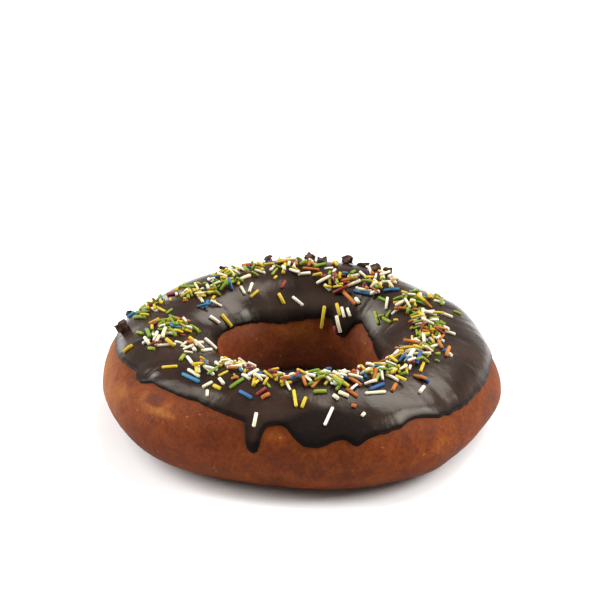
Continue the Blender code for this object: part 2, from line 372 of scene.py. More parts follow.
def dough_point(around, across):
    """Points on the bare dough, for arrays of angles."""
    out, up = np.cos(np.radians(across)), np.sin(np.radians(across))
    roundness = np.where(up >= 0, UPPER_ROUNDNESS, LOWER_ROUNDNESS)
    reach = (np.abs(out) ** roundness + np.abs(up) ** roundness) ** (-1 / roundness)
    side = np.where(out >= 0, RING_WIDTH / 2 + waves(around, WIDTH_WAVES) - CREST_RADIUS, HOLE_SIDE)
    widest = WIDEST_HEIGHT + waves(around, BELLY_WAVES)
    above = CREST_HEIGHT + waves(around, HEIGHT_WAVES) - widest
    below = widest + FOOT_FLATTENED
    relief = lumps(around, across) + mounds(around, across, BULGES)
    relief = relief - ICED_TOP_LOWERED * np.clip(up, 0, 1) ** 2
    radius = CREST_RADIUS + (side * reach + relief) * out
    height = widest + (np.where(up >= 0, above, below) * reach + relief) * up
    turn = np.radians(around)
    place = np.stack([radius * np.cos(turn), radius * np.sin(turn), np.maximum(height, 0)], -1)
    return place + np.array(RING_AXIS)


def unit(vectors):
    return vectors / np.linalg.norm(vectors, axis=-1, keepdims=True)


def dough_frame(around, across):
    """Points on the dough with unit directions around it, across it and out of it."""
    along = dough_point(around + FRAME_STEP, across) - dough_point(around - FRAME_STEP, across)
    over = dough_point(around, across + FRAME_STEP) - dough_point(around, across - FRAME_STEP)
    along = unit(along)
    out = unit(np.cross(along, over))
    return dough_point(around, across), along, np.cross(out, along), out


# %% [markdown]
# # The icing's two edges
# Dipped icing runs down until it sets, so its outer edge has lobes, bays and one long drip at
# the front. Both edges are one height on the section, plus a named change wherever the edge
# leaves it. The distance of each point to the nearest edge then drives everything else: how
# thick the icing is, how its rim rounds off, and where the crust is stained.

# %% The icing's edges
OUTER_EDGE = 28
OUTER_RUNS = (
    (30, 5, 9, 2),
    (52, -7, 6, 2),
    (78, 7, 10, 2),
    (98, -9, 5, 3),
    (120, 8, 9, 2),
    (141, -5, 6, 2),
    (209.5, -5.5, 4.5, 4),
    (220, 20.5, 33, 3),
    (256, -26.5, 2.6, 4),
    (264.5, 9.5, 4, 2),
    (272, -13.5, 7.5, 2),
    (285.5, -8, 2.7, 2),
    (305, 8, 8, 2),
)
INNER_EDGE = 149
INNER_RUNS = (
    (10, 7.5, 13.5, 2),
    (43, -5, 5.5, 2),
    (56.5, 15, 8, 4),
    (101, 10.5, 26, 2),
    (168, -6, 28, 2),
    (213, 4, 10, 2),
    (250, -4, 9, 2),
    (286, 5, 8, 2),
    (325, -4, 10, 2),
)
EDGE_STEP = 0.02
FRAY_WAVES = 26
FRAY_COUNTS = (7, 110)
FRAY_ANGLE = 5.5
FRAY_FALL = 0.6
OUTER_SEED = 21
INNER_SEED = 22


def runs(around, base, changes):
    """An edge that stays at base apart from named drips, lobes and bays."""
    total = np.full(np.shape(around), float(base))
    for centre, change, half_width, squareness in changes:
        total = total + change * np.exp(-np.abs(away(around, centre) / half_width) ** squareness)
    return total


def frayed(around, seed):
    """Small steps along an edge, as icing leaves them where it runs over a rough crust."""
    draw = random.Random(seed)
    total = np.zeros(np.shape(around))
    for _ in range(FRAY_WAVES):
        count, phase = draw.randint(*FRAY_COUNTS), draw.uniform(0, math.tau)
        total = total + np.sin(count * np.radians(around) + phase) / count ** FRAY_FALL
    return total * FRAY_ANGLE / math.sqrt(FRAY_WAVES)


def outer_edge(around):
    return runs(around, OUTER_EDGE, OUTER_RUNS) + frayed(around, OUTER_SEED)


def inner_edge(around):
    return runs(around, INNER_EDGE, INNER_RUNS) + frayed(around, INNER_SEED)


def edge_tree():
    around = np.arange(0, 360, EDGE_STEP)
    points = np.concatenate([dough_point(around, edge(around)) for edge in (outer_edge, inner_edge)])
    tree = KDTree(len(points))
    for index, point in enumerate(points):
        tree.insert(point, index)
    tree.balance()
    return tree


EDGES = edge_tree()


def inside_icing(around, across):
    """Distance from each place to the icing's nearest edge, negative where the dough is bare."""
    points = dough_point(around, across).reshape(-1, 3)
    distance = np.array([EDGES.find(point)[2] for point in points]).reshape(np.shape(around))
    covered = (across % 360 > outer_edge(around)) & (across % 360 < inner_edge(around))
    return np.where(covered, distance, -distance)


# %% [markdown]
# # Relief by Geometry Nodes
# Fried crust is finely pitted and icing sets with soft ripples. One tree makes both: it pushes
# each point along its normal by noise, less where a mask says so. A displacement in the material
# would be lost when the model is exported, so the points themselves move.

# %% A tree that adds relief
RELIEF_SIZES = ("Broad size", "Broad height", "Fine size", "Fine height", "Seed")


def new_geometry_tree(name, *sizes):
    """A tree that takes a mesh, a few sizes and a finish, and gives a mesh."""
    kinds = {"Mesh": "Geometry", **dict.fromkeys(sizes, "Float"), "Finish": "Material"}
    group = bpy.data.node_groups.new(name, "GeometryNodeTree")
    for title, kind in kinds.items():
        group.interface.new_socket(title, in_out="INPUT", socket_type=f"NodeSocket{kind}")
    group.interface.new_socket("Mesh", in_out="OUTPUT", socket_type="NodeSocketGeometry")
    tree = Tree(group.nodes, group.links)
    source = group.nodes.new("NodeGroupInput")
    return group, tree, {title: Wire(tree, source.outputs[title]) for title in kinds}


def end_geometry_tree(tree, mesh, finish):
    """Every tree ends as plain mesh with its material set."""
    real = tree.node("GeometryNodeRealizeInstances", {}, {"Geometry": mesh})
    done = tree.node("GeometryNodeSetMaterial", {}, {"Geometry": real, "Material": finish})
    tree.join(tree.nodes.new("NodeGroupOutput").inputs["Mesh"], done)


def named(tree, name, data_type="FLOAT"):
    return tree.node("GeometryNodeInputNamedAttribute", {"data_type": data_type}, {"Name": name})


def noise(tree, place, size, detail, seed):
    """Noise from 0 to 1 whose spots are about one size across, in metres."""
    values = {"Vector": place, "W": seed, "Scale": 1 / size, "Detail": detail}
    return tree.node("ShaderNodeTexNoise", {"noise_dimensions": "4D"}, values)


def relief_tree():
    group, tree, given = new_geometry_tree("relief along the normals", *RELIEF_SIZES)
    place = tree.node("GeometryNodeInputPosition")
    total = 0.0
    for scale in ("Broad", "Fine"):
        rough = noise(tree, place, given[f"{scale} size"], 2.0, given["Seed"])
        total = total + (rough - 0.5) * given[f"{scale} height"]
    normal = tree.node("GeometryNodeInputNormal")
    values = {0: normal, "Scale": total * named(tree, "relief")}
    push = tree.node("ShaderNodeVectorMath", {"operation": "SCALE"}, values)
    moved = tree.node("GeometryNodeSetPosition", {}, {"Geometry": given["Mesh"], "Offset": push})
    end_geometry_tree(tree, moved, given["Finish"])
    return group


def run_tree(piece, group, **values):
    """Run a tree on a piece and keep its result as plain mesh."""
    modifier = piece.modifiers.new(group.name, "NODES")
    modifier.node_group = group
    for item in group.interface.items_tree:
        title = item.name.replace(" ", "_")
        if item.in_out == "INPUT" and title in values:
            modifier[item.identifier] = values[title]
    evaluated = piece.evaluated_get(bpy.context.evaluated_depsgraph_get())
    mesh = bpy.data.meshes.new_from_object(evaluated)
    piece.modifiers.clear()
    piece.data = mesh


RELIEF = relief_tree()
print("relief tree sizes:", RELIEF_SIZES)

# %% [markdown]
# # Finish of the crust
# Crust fried in oil is brown where it lay in the fat and tan where it swelled out of it late.
# It is mottled at every scale, dotted with tiny pale blisters, and has an oily sheen that is
# never even. Attributes worked out with the shape say how far a point is from the icing, where
# the crust is stained, and how deep it lies in the hole, where a painted shade darkens it, so
# both follow the form and not the camera.

# %% Crust material
CRUST_TAN = colour(134, 86, 34)
CRUST_ORANGE = colour(117, 57, 19)
CRUST_BROWN = colour(98, 44, 16)
# The darkest brown, also the colour of the painted shade deep in the hole
CRUST_DARK = colour(76, 32, 13)
BLISTER_PALE = colour(160, 116, 62)
BLISTER_SPACING = 3.2 * MM
CRUST_GRAIN = ((0.8, 0.78, 0.76, 1), (1.16, 1.18, 1.2, 1))

# Broad, patchy and fine noise, then mottles drawn out upwards: size, detail and seed
CRUST_NOISES = ((16 * MM, 3, 1.0), (5 * MM, 4, 2.0), (0.9 * MM, 3, 3.0))
MOTTLE_NOISE = (1.7 * MM, 4, 2.5)
STREAKS = (1, 1, 0.75)


def attributes(tree, *names):
    kind = "ShaderNodeAttribute"
    return [tree.node(kind, {"attribute_name": name}, output="Fac") for name in names]


def own_place(tree):
    return tree.node("ShaderNodeTexCoord", output="Object")


def bump(tree, height, strength, distance):
    values = {"Strength": strength, "Distance": distance, "Height": height}
    return tree.node("ShaderNodeBump", {}, values)


def crust_material():
    made, tree, shader = new_material("fried crust")
    place = own_place(tree)
    broad, patchy, fine = [noise(tree, place, *row) for row in CRUST_NOISES]
    tan, hole, near_icing = attributes(tree, "tan", "hole", "near_icing")
    streaked = tree.node("ShaderNodeVectorMath", {"operation": "MULTIPLY"}, {0: place, 1: STREAKS})
    mottled = noise(tree, streaked, *MOTTLE_NOISE)
    brown = tree.blend((broad + patchy * 0.6).eased(0.62, 1.0), CRUST_DARK, CRUST_BROWN)
    orange = (patchy * 0.6 + mottled * 0.45 + tan * 0.6).eased(0.42, 0.92)
    body = tree.blend(orange, brown, CRUST_ORANGE)
    body = tree.blend(near_icing * 0.4, body, CRUST_ORANGE)
    # Painted shade: deep in the hole the crust is blended towards the darkest brown
    body = tree.blend(hole * 0.45, body, CRUST_DARK)
    body = tree.blend((tan * patchy * 2.0).clipped(0.2, 1.2), body, CRUST_TAN)
    spots = tree.node("ShaderNodeTexVoronoi", {}, {"Vector": place, "Scale": 1 / BLISTER_SPACING})
    pale = (1 - spots).eased(0.88, 0.95) * fine.eased(0.4, 0.6)
    body = tree.blend(pale * 0.45, body, BLISTER_PALE)
    grain = tree.blend(fine.eased(0.3, 0.7), *CRUST_GRAIN)
    height = fine * 0.6 + mottled + patchy + pale * 0.8
    tree.fill(shader, {
        "Base Color": tree.blend(1.0, body, grain, "MULTIPLY"),
        "Roughness": 0.42 + patchy * 0.25 + fine * 0.1,
        "Specular IOR Level": 0.08,
        "Normal": bump(tree, height, 0.35, 0.3 * MM)})
    return made


CRUST = crust_material()

# %% [markdown]
# # The crust
# The dough ring is one closed tube of cells laid out by the formula, fine enough to carry pits
# and lumps as real shape. Geometry Nodes then add the relief that no two doughnuts share. The
# relief fades to nothing at the foot, which the table pressed flat.

# %% Crust
CRUST_COLUMNS = 480
CRUST_ROWS = 176
FOOT_CLEAR = 3 * MM
STAIN_REACH = 3.5 * MM
# Painted shade in the hole: its middle across, and its half width
HOLE_SHADE_MIDDLE = 200
HOLE_SHADE_HALF = 55

# Tan and brown places, brown ones negative: around, across, strength, and half widths both ways
TAN_PLACES = (
    (182, 5, 0.75, 26, 26),
    (160, 350, 0.5, 20, 30),
    (5, 345, 0.55, 16, 30),
    (90, 0, 0.8, 50, 24),
    (221.5, 38, -0.65, 3.0, 6.5),
    (216.5, 36, 0.4, 2.2, 8),
    (227, 35, 0.45, 2.4, 8),
    (223.5, 27, 0.75, 5, 4.5),
    (230, 27, 0.6, 3, 3),
    (206, 24, 0.6, 4, 7),
    (232, 352, -0.7, 18, 14),
    (262, 24, 0.35, 6, 8),
    (309, 8, 0.3, 9, 14),
    (242, 22, -0.5, 12, 12),
    (36, 155, 0.35, 5, 7),
    (25, 160, 0.3, 6, 5),
    (90, 172, 0.4, 26, 18),
    (150, 170, -0.4, 14, 16),
)


def set_attribute(mesh, name, values):
    layer = mesh.attributes.new(name, "FLOAT", "POINT")
    layer.data.foreach_set("value", np.ascontiguousarray(values, dtype=np.float32).ravel())


def place_grid(columns, across):
    """Angles around in even columns, each with all the angles across."""
    return np.meshgrid(np.arange(columns) * 360 / columns, across, indexing="ij")


def closed_grid(name, points):
    """A mesh from a grid of points that closes both ways."""
    columns, rows = points.shape[:2]
    i, j = np.meshgrid(np.arange(columns), np.arange(rows), indexing="ij")
    after, up = (i + 1) % columns, (j + 1) % rows
    faces = np.stack([i * rows + j, after * rows + j, after * rows + up, i * rows + up], -1)
    mesh = bpy.data.meshes.new(name)
    mesh.from_pydata(points.reshape(-1, 3).tolist(), [], faces.reshape(-1, 4).tolist())
    mesh.shade_smooth()
    return mesh


def dress(piece, node):
    """The calls that every piece needs: what carries it, and the solid it stands for, which is hidden.
    """
    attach(piece, "root")
    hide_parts(node)
    count = sum(len(face.vertices) - 2 for face in piece.data.polygons)
    print(piece.name, count, "triangles")


def make_crust():
    around, across = place_grid(CRUST_COLUMNS, np.arange(CRUST_ROWS) * 360 / CRUST_ROWS)
    points = dough_point(around, across)
    mesh = closed_grid("dough_crust", points)
    inside = inside_icing(around, across)
    set_attribute(mesh, "relief", np.clip(points[..., 2] / FOOT_CLEAR, 0, 1))
    set_attribute(mesh, "near_icing", np.exp(-np.maximum(-inside, 0) / STAIN_REACH))
    # Painted shade: how deep a point lies in the hole
    set_attribute(mesh, "hole", np.exp(-(away(across, HOLE_SHADE_MIDDLE) / HOLE_SHADE_HALF) ** 4))
    set_attribute(mesh, "tan", np.clip(mounds(around, across, TAN_PLACES), -1, 1))
    crust = new_piece("dough_crust", mesh)
    run_tree(crust, RELIEF, Broad_size=7 * MM, Broad_height=0.35 * MM, Fine_size=1.6 * MM,
             Fine_height=0.16 * MM, Seed=4.0, Finish=CRUST)
    dress(crust, "dough")
    return crust


crust = make_crust()

# %% [markdown]
# # Finish of the icing
# Set chocolate icing is nearly black-brown with a soft gloss. Where it was smeared or has
# crystallised it is matte. The colour hardly varies, so what shows its form is the sheen:
# roughness changes in patches and streaks. Along both edges the rim is dull and painted nearly
# black, a painted shade for the shadow under its rounded edge.

# %% Icing material
ICING_DARK = colour(29, 17, 13)
ICING_LIGHT = colour(43, 27, 21)
ICING_MATTE = colour(20, 13, 10)
# Painted shade: the near-black of the rim, for the shadow under its rounded edge
RIM_PAINTED_SHADE = colour(7, 4, 3)
GLOSS_TINT = (1.0, 0.92, 0.75, 1)

# Cloudy, creased and grainy noise: size, detail and seed
ICING_NOISES = ((9 * MM, 3, 5.0), (3.2 * MM, 3, 5.5), (0.7 * MM, 2, 6.0))


def icing_material():
    made, tree, shader = new_material("chocolate icing")
    place = own_place(tree)
    cloudy, creased, grain = [noise(tree, place, *row) for row in ICING_NOISES]
    matte, rim = attributes(tree, "matte", "rim")
    height = cloudy * 2.2 + creased * 1.8 + grain * 0.12
    tree.fill(shader, {
        "Base Color": tree.blend(cloudy.eased(0.35, 0.7), ICING_DARK, ICING_LIGHT),
        "Roughness": 0.17 + cloudy * 0.17,
        "Specular IOR Level": 0.265,
        "Specular Tint": GLOSS_TINT,
        "Normal": bump(tree, height, 0.24, 0.35 * MM)})
    # Along the rim the dull finish carries a painted shade, blended towards near-black
    shaded = tree.blend(rim, tree.blend(grain.eased(0.5, 0.7), ICING_MATTE, ICING_DARK), RIM_PAINTED_SHADE)
    dull_and_shaded = tree.node("ShaderNodeBsdfPrincipled", {}, {
        "Base Color": shaded, "Roughness": 0.7, "Specular IOR Level": 0.06})
    edged = (matte + (creased - 0.5) * 0.3).eased(0.2, 0.56)
    share = (edged + rim * 0.8).clipped()
    glossy = Wire(tree, shader.outputs["BSDF"])
    mixed = tree.node("ShaderNodeMixShader", {}, {0: share, 1: glossy, 2: dull_and_shaded})
    tree.join(made.node_tree.nodes["Material Output"].inputs["Surface"], mixed)
    return made


ICING = icing_material()

# %% [markdown]
# # The coat of icing
# The rim is what gives poured icing away: it ends in a soft rounded bead that follows every lobe
# and drip. A plain grid would cut across the rim, so the grid is cut along lines of equal
# distance to the edge first. Cells outside the last line go, and an underside sunk into the
# crust closes the coat.

# %% Icing sizes
GAP = 0.3 * MM
ICING_THICKNESS = 0.95 * MM
RIM_THICKNESS = 0.5 * MM
RIM_BEAD = 0.06 * MM
BEAD_FROM_EDGE = 1.2 * MM
RIM_ROUNDING = 0.55 * MM
RIM_BLEND = 4 * MM
# How far in from each edge the rim is dull and darkened by painted shade
OUTER_RIM_DULL_AND_SHADE = 1.3 * MM
INNER_RIM_DULL_AND_SHADE = 2.3 * MM
SUNK_INTO_CRUST = 0.25 * MM
CALM_RIM = 0.4 * MM
CALM_BLEND = 2 * MM
POOLS = (
    (273, 24, 0.5 * MM, 6, 10),
    (256.5, 14, 0.35 * MM, 2.5, 8),
    (286, 27, 0.3 * MM, 4, 7),
)
ICING_COLUMNS = 460
ICING_ROWS = 74
ICING_REACH = (-4, 172)
TRIM_LINES = (0, 0.05 * MM, 0.18 * MM, 0.42 * MM, 0.75 * MM, 1.15 * MM)
SNAP = 0.22
MATTE_PLACES = (
    (278, 33, 1.0, 13, 20),
    (256, 9, 0.9, 3, 9),
)

# Creases that the icing set with: around, across, rise, and half widths both ways
NAMED_CREASES = (
    (318, 46, -0.3 * MM, 1.8, 12),
    (324.5, 43, 0.22 * MM, 1.8, 13),
    (309, 40, 0.2 * MM, 4, 8),
    (213.5, 57, 0.45 * MM, 1.5, 5),
    (211, 54, -0.35 * MM, 1.4, 6),
    (221, 54, 0.22 * MM, 2.2, 4),
    (229, 52, 0.2 * MM, 3, 4),
)
CREASE_RISE = 0.12 * MM
CREASE_BANDS = ((60, 32, 66), (30, 112, 140))
CREASE_WIDTHS = (1.1, 2.6)
CREASE_LENGTHS = (5, 13)
CREASE_SEED = 17


def crease_list():
    """The named creases, and shallow ones drawn all round where the icing ran down both ways."""
    draw = random.Random(CREASE_SEED)
    drawn = [
        (draw.uniform(0, 360), draw.uniform(low, high), draw.uniform(-CREASE_RISE, CREASE_RISE),
         draw.uniform(*CREASE_WIDTHS), draw.uniform(*CREASE_LENGTHS))
        for count, low, high in CREASE_BANDS
        for _ in range(count)
    ]
    return (*NAMED_CREASES, *drawn)


def icing_lift(around, across, inside):
    """Height of the icing's skin above the dough: a rounded rim, a bead, then full thickness."""
    rounded = np.sqrt(np.clip(1 - (1 - np.clip(inside / RIM_ROUNDING, 0, 1)) ** 2, 0, 1))
    blend = np.clip(inside / RIM_BLEND, 0, 1)
    blend = blend * blend * (3 - 2 * blend)
    bead = RIM_BEAD * np.exp(-((inside - BEAD_FROM_EDGE) / RIM_ROUNDING) ** 2)
    full = RIM_THICKNESS + (ICING_THICKNESS - RIM_THICKNESS) * blend
    full = full + bead + mounds(around, across, POOLS)
    return (GAP + full) * rounded


# %% Trim the grid along the icing's edges
class Sheet:
    """A grid of places on the ring, cut along lines of equal distance to the icing's edge."""

    def __init__(self):
        around, across = place_grid(ICING_COLUMNS, np.linspace(*ICING_REACH, ICING_ROWS))
        inside = inside_icing(around, across)
        self.mesh = bmesh.new()
        self.places = {}
        grid = []
        for row in np.stack([around, across, inside], -1):
            grid.append([self.add(*place) for place in row])
        for i, column in enumerate(grid):
            after = grid[(i + 1) % ICING_COLUMNS]
            for j in range(ICING_ROWS - 1):
                self.mesh.faces.new((column[j], after[j], after[j + 1], column[j + 1]))

    def add(self, around, across, inside):
        vert = self.mesh.verts.new((around, across, 0))
        self.places[vert] = (around, across, inside)
        return vert

    def between(self, first, second, share, inside):
        (around, across, _), (to_around, to_across, _) = self.places[first], self.places[second]
        around = around + away(to_around, around) * share
        return around, across + (to_across - across) * share, inside

    def crossings(self, level):
        for edge in list(self.mesh.edges):
            first, second = edge.verts
            start, end = self.places[first][2] - level, self.places[second][2] - level
            if start * end < 0:
                yield edge, first, second, start / (start - end)

    def cut(self, level):
        """Bring verts that are near the line onto it, split edges there, then split faces."""
        for edge, first, second, share in self.crossings(level):
            near, far, step = (first, second, share) if share < 0.5 else (second, first, 1 - share)
            if step < SNAP and self.places[near][2] not in TRIM_LINES and self.places[near][2] != level:
                self.places[near] = self.between(near, far, step, level)
        for edge, first, second, share in self.crossings(level):
            place = self.between(first, second, share, level)
            vert = bmesh.utils.edge_split(edge, first, share)[1]
            self.places[vert] = place
        for face in list(self.mesh.faces):
            corners = [vert for vert in face.verts if self.places[vert][2] == level]
            if len(corners) == 2 and not self.mesh.edges.get(corners):
                bmesh.utils.face_split(face, *corners)


def trimmed_sheet():
    sheet = Sheet()
    for level in TRIM_LINES:
        sheet.cut(level)
    outside = [vert for vert in sheet.mesh.verts if sheet.places[vert][2] < 0]
    bmesh.ops.delete(sheet.mesh, geom=outside, context="VERTS")
    verts = list(sheet.mesh.verts)
    number = {vert: index for index, vert in enumerate(verts)}
    places = np.array([sheet.places[vert] for vert in verts])
    faces = [tuple(number[vert] for vert in face.verts) for face in sheet.mesh.faces]
    loops = [edge.link_loops[0] for edge in sheet.mesh.edges if edge.is_boundary]
    rim_edges = [(number[loop.vert], number[loop.link_loop_next.vert]) for loop in loops]
    sheet.mesh.free()
    return places, faces, rim_edges


# %% Icing
def make_icing():
    places, top_faces, rim_edges = trimmed_sheet()
    around, across, inside = places.T
    points, _, _, out = dough_frame(around, across)
    calm = np.clip((inside - CALM_RIM) / CALM_BLEND, 0, 1)
    lift = icing_lift(around, across, inside) + mounds(around, across, crease_list()) * calm
    top = points + out * lift[:, None]
    under = points - out * SUNK_INTO_CRUST
    count = len(points)
    faces = list(top_faces)
    faces += [tuple(count + index for index in reversed(face)) for face in top_faces]
    faces += [(second, first, first + count, second + count) for first, second in rim_edges]
    mesh = bpy.data.meshes.new("icing_coat")
    mesh.from_pydata(np.concatenate([top, under]).tolist(), [], faces)
    mesh.shade_smooth()
    set_attribute(mesh, "relief", np.concatenate([calm, calm * 0]))
    matte = np.clip(mounds(around, across, MATTE_PLACES), 0, 1)
    set_attribute(mesh, "matte", np.concatenate([matte, matte]))
    # The rim mask: a duller finish and a painted shade, reaching further in at the hole's edge
    dull_and_shaded = np.where(across > 90, INNER_RIM_DULL_AND_SHADE, OUTER_RIM_DULL_AND_SHADE)
    rim = np.exp(-(inside / dull_and_shaded) ** 4)
    set_attribute(mesh, "rim", np.concatenate([rim, rim]))
    coat = new_piece("icing_coat", mesh)
    run_tree(coat, RELIEF, Broad_size=11 * MM, Broad_height=0.3 * MM, Fine_size=2.6 * MM,
             Fine_height=0.08 * MM, Seed=9.0, Finish=ICING)
    dress(coat, "icing")
    return coat


icing = make_icing()

# %% [markdown]
# # Where the strands lie
# Strands thrown by hand land in drifts, with some alone between them. Those are placed one by
# one: colour, around, across, turn from the ring's direction, and length in mm. The drifts are
# drawn by a seeded rule: first the strands that the solids carry, then smaller ones that fill
# the heaps.

# %% Lone strands and drifts
LONE_STRANDS = (
    ("white", 256.2, 37, 88, 3.8), ("white", 278.5, 45, 68, 5.7), ("yellow", 268, 62, 102, 5.6),
    ("blue", 251, 61, 155, 4.2), ("yellow", 216, 68, 44, 4.2), ("yellow", 190, 50, 98, 3.2),
    ("white", 199, 82, 67, 5.2), ("yellow", 150, 136, 87, 4.4), ("yellow", 103, 135, 104, 3.6),
    ("white", 92, 139, 137, 4.0), ("yellow", 73, 152, 92, 6.5), ("yellow", 62, 142, 128, 4.0),
    ("white", 58, 154, 122, 5.0), ("orange", 59, 127, 154, 7.2), ("white", 14, 88, 95, 4.1),
    ("white", 12, 73, 60, 3.6), ("white", 296, 66, 177, 5.8), ("white", 313, 58, 21, 3.1),
    ("yellow", 271, 58, 77, 3.5), ("red", 256, 67, 57, 3.4), ("orange", 258, 62, 42, 2.5),
    ("green", 246, 73, 63, 4.8), ("yellow", 252, 79, 100, 4.1), ("white", 236, 65, 60, 3.0),
    ("white", 238, 56, 115, 1.9), ("white", 240, 72, 142, 2.8), ("yellow", 240, 64, 162, 2.4),
    ("blue", 228, 67, 174, 6.5), ("white", 227, 73, 167, 5.2), ("white", 205, 103, 169, 6.1),
    ("white", 190, 131, 55, 4.4), ("white", 157, 127, 94, 3.4), ("yellow", 119, 123, 24, 3.6),
    ("white", 119, 114, 48, 3.8), ("white", 124, 114, 80, 3.1), ("red", 100, 119, 59, 2.9),
    ("red", 60, 160, 119, 2.6), ("white", 58, 143, 131, 3.4), ("white", 54, 141, 137, 2.8),
    ("white", 357, 74, 83, 3.0), ("white", 340, 69, 60, 2.2), ("blue", 318, 66, 97, 3.0),
    ("orange", 304, 68, 38, 3.4), ("blue", 298, 72, 18, 5.4), ("white", 289, 46, 44, 1.2),
    ("orange", 287, 55, 160, 1.3), ("orange", 288, 69, 125, 3.9), ("white", 285, 68, 141, 2.9),
    ("white", 282, 65, 130, 1.8), ("green", 277, 72, 6, 3.3), ("green", 214, 83, 129, 3.1),
    ("white", 218, 85, 162, 4.5), ("orange", 224, 91, 21, 2.3), ("white", 227, 79, 136, 4.3),
    ("white", 231, 82, 154, 5.9), ("white", 70, 113, 133, 4.6), ("yellow", 74, 113, 110, 3.0),
    ("green", 78, 113, 60, 2.6), ("white", 74, 122, 142, 2.8), ("blue", 52, 117, 9, 5.8),
    ("blue", 40, 98, 54, 4.5), ("white", 45, 112, 74, 2.9), ("green", 38, 113, 6, 3.7),
    ("white", 52, 127, 152, 2.1), ("orange", 85, 97, 173, 4.8), ("white", 88, 105, 9, 3.6),
    ("white", 93, 101, 128, 4.2), ("green", 162, 56, 68, 5.2), ("green", 166, 56, 57, 5.0),
    ("white", 162, 68, 49, 3.6), ("blue", 160, 41, 155, 2.6), ("green", 182, 63, 33, 3.6),
    ("white", 191, 67, 109, 2.3), ("white", 192, 68, 12, 3.2), ("green", 198, 69, 33, 2.2),
    ("blue", 182, 70, 22, 2.4), ("red", 177, 75, 148, 2.9), ("green", 187, 75, 0, 4.0),
)

# Shares of each colour in a drift
MIXED = {"white": 34, "green": 18, "yellow": 25, "orange": 11, "blue": 7, "red": 5}
GREENISH = {"white": 22, "green": 38, "yellow": 26, "orange": 6, "blue": 3, "red": 5}
PALE = {"white": 50, "green": 8, "yellow": 25, "orange": 7, "blue": 6, "red": 4}
GOLDEN = {"white": 30, "green": 12, "yellow": 36, "orange": 10, "blue": 7, "red": 5}

# Drifts: around, across, spreads both ways, how many the solids carry, how many more, and colours
DRIFTS = (
    (181, 94, 4, 9, 12, 60, GREENISH),
    (192, 78, 3.5, 4, 2, 8, PALE),
    (205, 108, 3, 7, 3, 12, PALE),
    (227, 80, 4, 5, 3, 8, PALE),
    (158, 66, 8, 7, 4, 12, GREENISH),
    (144, 90, 6, 11, 6, 30, GOLDEN),
    (127, 87, 8, 8, 10, 54, GREENISH),
    (101, 85, 8, 8, 9, 48, GOLDEN),
    (84, 84, 5, 9, 2, 6, PALE),
    (66, 106, 8, 8, 6, 32, MIXED),
    (49, 97, 4, 12, 7, 42, MIXED),
    (25, 98, 4, 16, 7, 44, GREENISH),
    (2, 93, 7, 7, 6, 42, GREENISH),
    (347, 91, 5, 7, 3, 32, MIXED),
    (330, 95, 7, 8, 12, 66, GOLDEN),
    (304, 89, 8, 7, 11, 62, MIXED),
    (282, 89, 8, 6, 9, 50, MIXED),
    (258, 90, 8, 6, 8, 42, GOLDEN),
    (239, 100, 5, 5, 4, 22, PALE),
)

# Columns of the drifts
CARRIED = 4
MORE = 5
SHARES = 6

STRAND_SEED = 31
MORE_SEED = 12
LOOKS_SEED = 3
STRAND_LENGTHS = (3.0 * MM, 5.6 * MM)
MORE_LENGTHS = (1.2 * MM, 4.0 * MM)
STRAND_SPACING = 1.5 * MM
MORE_SPACING = 0.6 * MM
STRAND_RADII = (0.42 * MM, 0.54 * MM)
MORE_RADII = (0.32 * MM, 0.45 * MM)
STRAND_SUNK = 0.2 * MM
BEND_CHOICES = (0, 0, 1, 2)


def on_icing(around, across):
    """The icing's skin at one place, with the directions around, across and out of it."""
    here, level = np.array([float(around)]), np.array([float(across)])
    point, along, over, out = dough_frame(here, level)
    lift = icing_lift(here, level, np.maximum(inside_icing(here, level), 0))
    return [Vector(value[0]) for value in (point + out * lift[:, None], along, over, out)]


def turned(first, second, degrees):
    """A direction that turns from the first towards the second."""
    return first * math.cos(math.radians(degrees)) + second * math.sin(math.radians(degrees))


def drifted(draw, column, lengths, spacing):
    """Draw places in each drift, none too near another, as the solids' own rule does."""
    taken = []
    for drift in DRIFTS:
        centre, level, spread_around, spread_across = drift[:4]
        placed = 0
        while placed < drift[column]:
            around = draw.gauss(centre, spread_around)
            across = draw.gauss(level, spread_across)
            turn = draw.uniform(0, 180)
            length = draw.uniform(*lengths)
            point = on_icing(around, across)[0]
            if all((point - other).length > spacing for other in taken):
                taken.append(point)
                placed += 1
                yield around, across, turn, length, drift[SHARES]


# %% [markdown]
# # How strands come to rest
# A strand is a stiff rod. Dropped on the icing it sinks in a little, and on a heap it leans on
# two others. Its lowest rest is a line over all the points that hold it up: the rod's middle
# goes no lower than any line between a support on its left and one on its right. That is exact
# and quick, and needs no simulation.

# %% Rest one strand after another
SURFACE_CHECKS = (-1, -0.5, 0, 0.5, 1)
RAY_START = 6 * MM
ROD_CHECKS = np.linspace(0, 1, 11)
HIGHEST_REST = 2.1 * MM
TOP_MARGIN = 0.6 * MM
STEEPEST_REST = 0.75
NEAR_MIDDLE = 1e-6
UNHELD = -1.0


